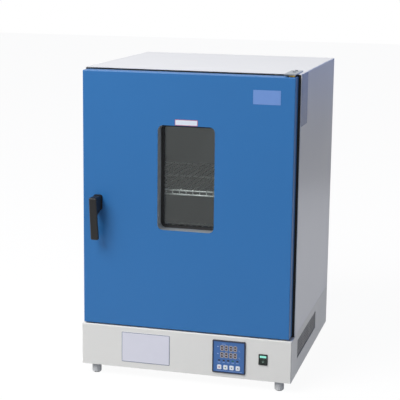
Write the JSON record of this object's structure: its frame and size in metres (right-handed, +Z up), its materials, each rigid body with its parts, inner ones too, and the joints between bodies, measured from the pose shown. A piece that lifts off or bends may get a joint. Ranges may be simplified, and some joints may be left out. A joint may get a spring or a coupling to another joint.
{
  "type": "forced-air drying oven",
  "caption": "Floor-standing laboratory drying oven: blue insulated door with a viewing window and a lever latch, grey cabinet, wire shelves, fan chamber and a controller base.",
  "frame": {"origin": "middle of the overall footprint, on the floor under the feet", "axes": "+X to the right seen from the door side, -Y towards the door side, +Z up"},
  "size_m": [0.62, 0.7036, 0.8996],
  "materials": {
    "feet": "light grey moulded plastic, satin",
    "base_paint": "light grey powder coat, fine orange peel",
    "pan_steel": "zinc-plated sheet steel, dull",
    "grille_paint": "grey powder coat, in shadow",
    "shell_paint": "light grey powder coat, fine orange peel",
    "frame_paint": "light grey powder coat, satin",
    "screw_steel": "zinc-plated screw steel",
    "hinge_steel": "ground steel, satin",
    "bush_brass": "turned brass, dull",
    "seal_black": "black silicone rubber, matt",
    "gasket_silicone": "dark silicone rubber, matt",
    "keeper_steel": "hardened steel, satin",
    "chamber_steel": "brushed stainless sheet",
    "wire_steel": "polished stainless wire",
    "rack_steel": "brushed stainless angle",
    "probe_steel": "drawn stainless tube",
    "window_steel": "polished stainless sheet",
    "insulation": "mineral wool",
    "fan_steel": "stainless sheet, welded",
    "motor_metal": "black stoving enamel",
    "heater_sheath": "heat-darkened steel sheath",
    "exhaust_steel": "brushed stainless tube",
    "knob_black": "black heat-resistant moulding",
    "door_paint": "mid-blue powder coat, satin",
    "window_glass": "clear toughened glass",
    "handle_black": "black moulded plastic, satin",
    "controller_black": "dark moulded plastic",
    "face_blue": "blue printed foil",
    "key_white": "white rubber key",
    "switch_black": "black moulded plastic",
    "rocker_green": "green translucent moulding",
    "relay_metal": "extruded aluminium",
    "terminal_plastic": "black phenolic moulding",
    "gland_black": "black polyamide"
  },
  "bodies": {
    "cabinet": {"feet": "feet", "base_cover": "base_paint", "base_pan": "pan_steel", "base_back": "base_paint", "vent_grille_right": "grille_paint", "vent_grille_left": "grille_paint", "outer_shell": "shell_paint", "back_panel": "shell_paint", "back_screws": "screw_steel", "front_frame": "frame_paint", "frame_seal": "seal_black", "latch_keeper": "keeper_steel", "liner": "chamber_steel", "cabinet_insulation": "insulation", "duct_panel_right": "chamber_steel", "duct_panel_left": "chamber_steel", "floor_baffle": "chamber_steel", "inlet_guard": "wire_steel", "motor": "motor_metal", "heater_right": "heater_sheath", "heater_left": "heater_sheath", "side_rack_right": "rack_steel", "side_rack_left": "rack_steel", "temperature_probe": "probe_steel", "exhaust_pipe": "exhaust_steel", "exhaust_disc": "exhaust_steel", "hinge_plate_top": "hinge_steel", "hinge_plate_bottom": "pan_steel", "hinge_screws": "screw_steel", "hinge_pins": "hinge_steel", "controller_case": "controller_black", "controller_face": "face_blue", "switch_frame": "switch_black", "relay": "relay_metal", "terminal_block": "terminal_plastic", "cable_gland": "gland_black", "fuse_holder": "gland_black"},
    "door": {"door_skin": "door_paint", "door_inner": "chamber_steel", "door_insulation": "insulation", "door_gasket": "gasket_silicone", "window_frame": "window_steel", "window_seals": "seal_black", "outer_glass": "window_glass", "inner_glass": "window_glass", "handle_rosette": "handle_black", "hinge_bushes": "bush_brass"},
    "handle": {"handle_lever": "handle_black", "latch_cam": "keeper_steel"},
    "fan": {"impeller": "fan_steel", "fan_shaft": "probe_steel"},
    "upper_shelf": {"shelf_upper": "wire_steel"},
    "lower_shelf": {"shelf_lower": "wire_steel"},
    "damper": {"exhaust_damper": "knob_black"},
    "power_rocker": {"switch_rocker": "rocker_green"},
    "key_a": {"key_1": "key_white"},
    "key_b": {"key_2": "key_white"},
    "key_c": {"key_3": "key_white"},
    "key_d": {"key_4": "key_white"}
  },
  "joints": [
    {"name": "door_hinge", "type": "hinge", "parent": "cabinet", "child": "door", "pos_m": [0.288, -0.28515, 0.52], "axis": [0, 0, 1], "range_deg": [0, 130]},
    {"name": "handle_turn", "type": "hinge", "parent": "door", "child": "handle", "pos_m": [-0.259, -0.30215, 0.516], "axis": [0, -1, 0], "range_deg": [0, 90]},
    {"name": "fan_spin", "type": "hinge", "parent": "cabinet", "child": "fan", "pos_m": [0, -0.00595, 0.2], "axis": [0, 0, 1], "continuous": true},
    {"name": "upper_shelf_slide", "type": "slide", "parent": "cabinet", "child": "upper_shelf", "axis": [0, -1, 0], "range_m": [0, 0.022]},
    {"name": "lower_shelf_slide", "type": "slide", "parent": "cabinet", "child": "lower_shelf", "axis": [0, -1, 0], "range_m": [0, 0.022]},
    {"name": "damper_turn", "type": "hinge", "parent": "cabinet", "child": "damper", "pos_m": [0, 0.34785, 0.78], "axis": [0, 1, 0], "range_deg": [0, 60]},
    {"name": "power_rocker_tilt", "type": "hinge", "parent": "cabinet", "child": "power_rocker", "pos_m": [0.2297, -0.30115, 0.0929], "axis": [1, 0, 0], "range_deg": [0, 14]},
    {"name": "key_a_press", "type": "slide", "parent": "cabinet", "child": "key_a", "axis": [0, 1, 0], "range_m": [0, 0.0008], "stiffness_N_per_m": 400},
    {"name": "key_b_press", "type": "slide", "parent": "cabinet", "child": "key_b", "axis": [0, 1, 0], "range_m": [0, 0.0008], "stiffness_N_per_m": 400},
    {"name": "key_c_press", "type": "slide", "parent": "cabinet", "child": "key_c", "axis": [0, 1, 0], "range_m": [0, 0.0008], "stiffness_N_per_m": 400},
    {"name": "key_d_press", "type": "slide", "parent": "cabinet", "child": "key_d", "axis": [0, 1, 0], "range_m": [0, 0.0008], "stiffness_N_per_m": 400}
  ]
}
